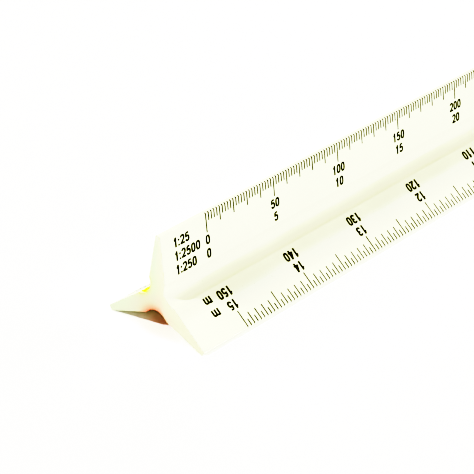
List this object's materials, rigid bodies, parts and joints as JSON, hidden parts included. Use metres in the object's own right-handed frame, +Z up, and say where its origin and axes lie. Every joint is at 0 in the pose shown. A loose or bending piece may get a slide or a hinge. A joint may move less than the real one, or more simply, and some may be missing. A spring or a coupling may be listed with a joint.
{
  "type": "triangular scale ruler",
  "caption": "Solid white three-armed drafting ruler with printed reduction scales on its flanks and coloured strips in its flutes.",
  "frame": {"origin": "centre of the footprint, on the surface that the ruler rests on", "axes": "+X along the ruler, the way the 1:2500 scale reads, +Z up through the upper arm, and the white flute faces -Y"},
  "size_m": [0.3256, 0.0246, 0.0214],
  "materials": {
    "white_plastic": "smooth satin moulding",
    "yellow_strip": "bright gloss strip",
    "red_strip": "bright gloss strip",
    "black_ink": "stamped black printing"
  },
  "bodies": {
    "root": {"scale_body": "white_plastic", "yellow_flute_strip": "yellow_strip", "red_flute_strip": "red_strip", "graduations_1_2500": "black_ink", "figures_1_2500": "black_ink", "legend_1_2500": "black_ink", "graduations_1_500": "black_ink", "figures_1_500": "black_ink", "legend_1_500": "black_ink", "graduations_1_1000": "black_ink", "figures_1_1000": "black_ink", "legend_1_1000": "black_ink", "graduations_1_2000": "black_ink", "figures_1_2000": "black_ink", "legend_1_2000": "black_ink", "graduations_1_1250": "black_ink", "figures_1_1250": "black_ink", "legend_1_1250": "black_ink", "graduations_1_1500": "black_ink", "figures_1_1500": "black_ink", "legend_1_1500": "black_ink"}
  },
  "joints": []
}
